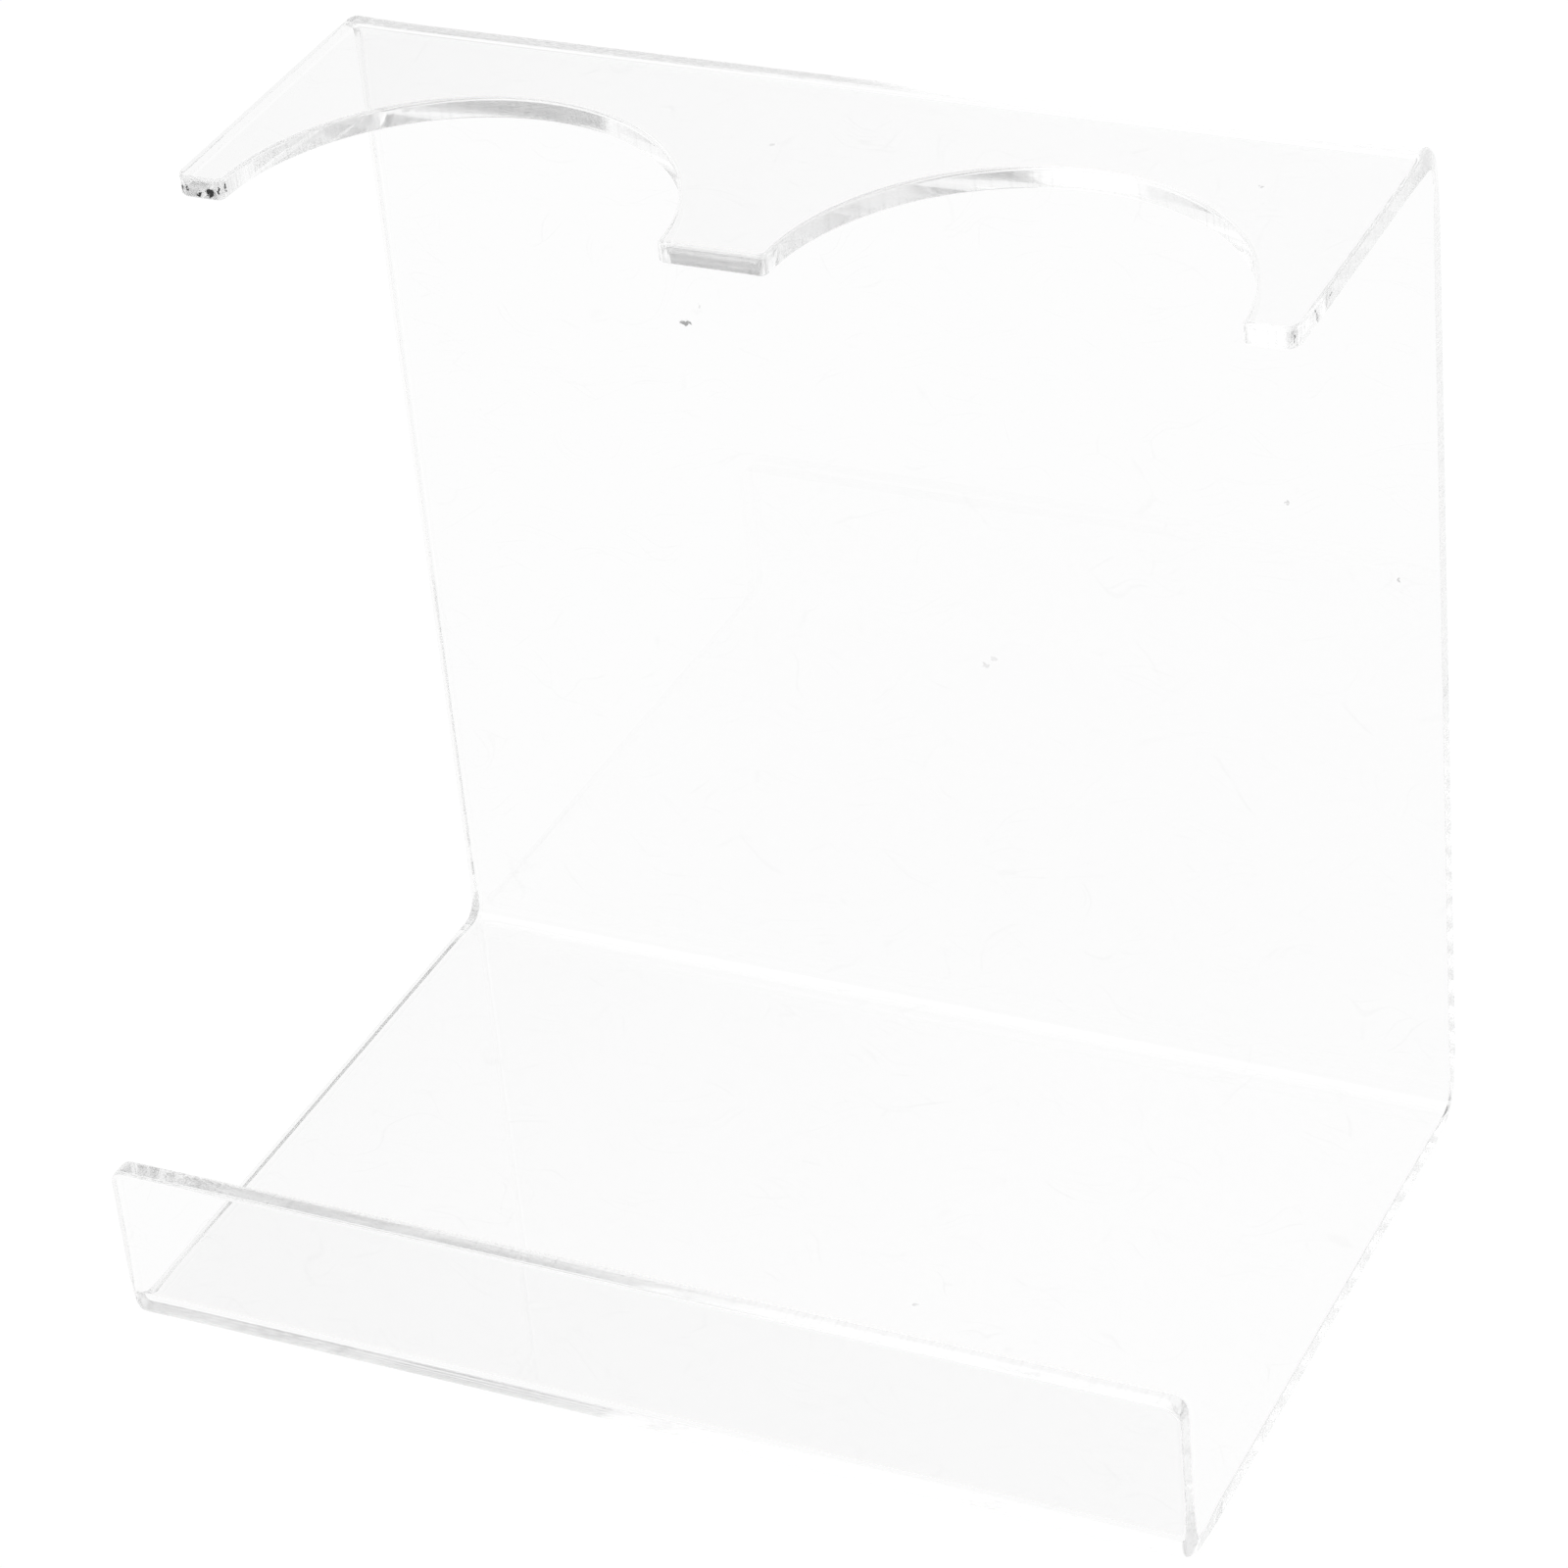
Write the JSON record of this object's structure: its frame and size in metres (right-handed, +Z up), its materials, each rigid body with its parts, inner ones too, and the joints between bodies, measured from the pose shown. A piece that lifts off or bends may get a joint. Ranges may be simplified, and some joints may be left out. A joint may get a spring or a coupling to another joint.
{
  "type": "headphone stand",
  "caption": "Clear bent-sheet headphone stand: flat base with a low front lip, upright back, and a forward top shelf with half-round scallops.",
  "frame": {"origin": "middle of the footprint, on the surface the stand rests on", "axes": "+X is the width, to the right seen from the front; -Y is the open front with the lip and the scallops; +Z is up"},
  "size_m": [0.205, 0.138, 0.2004],
  "materials": {
    "clear_acrylic": "clear, polished faces; laser-cut edges with faint striations"
  },
  "bodies": {
    "root": {"bent_sheet": "clear_acrylic"}
  },
  "joints": []
}
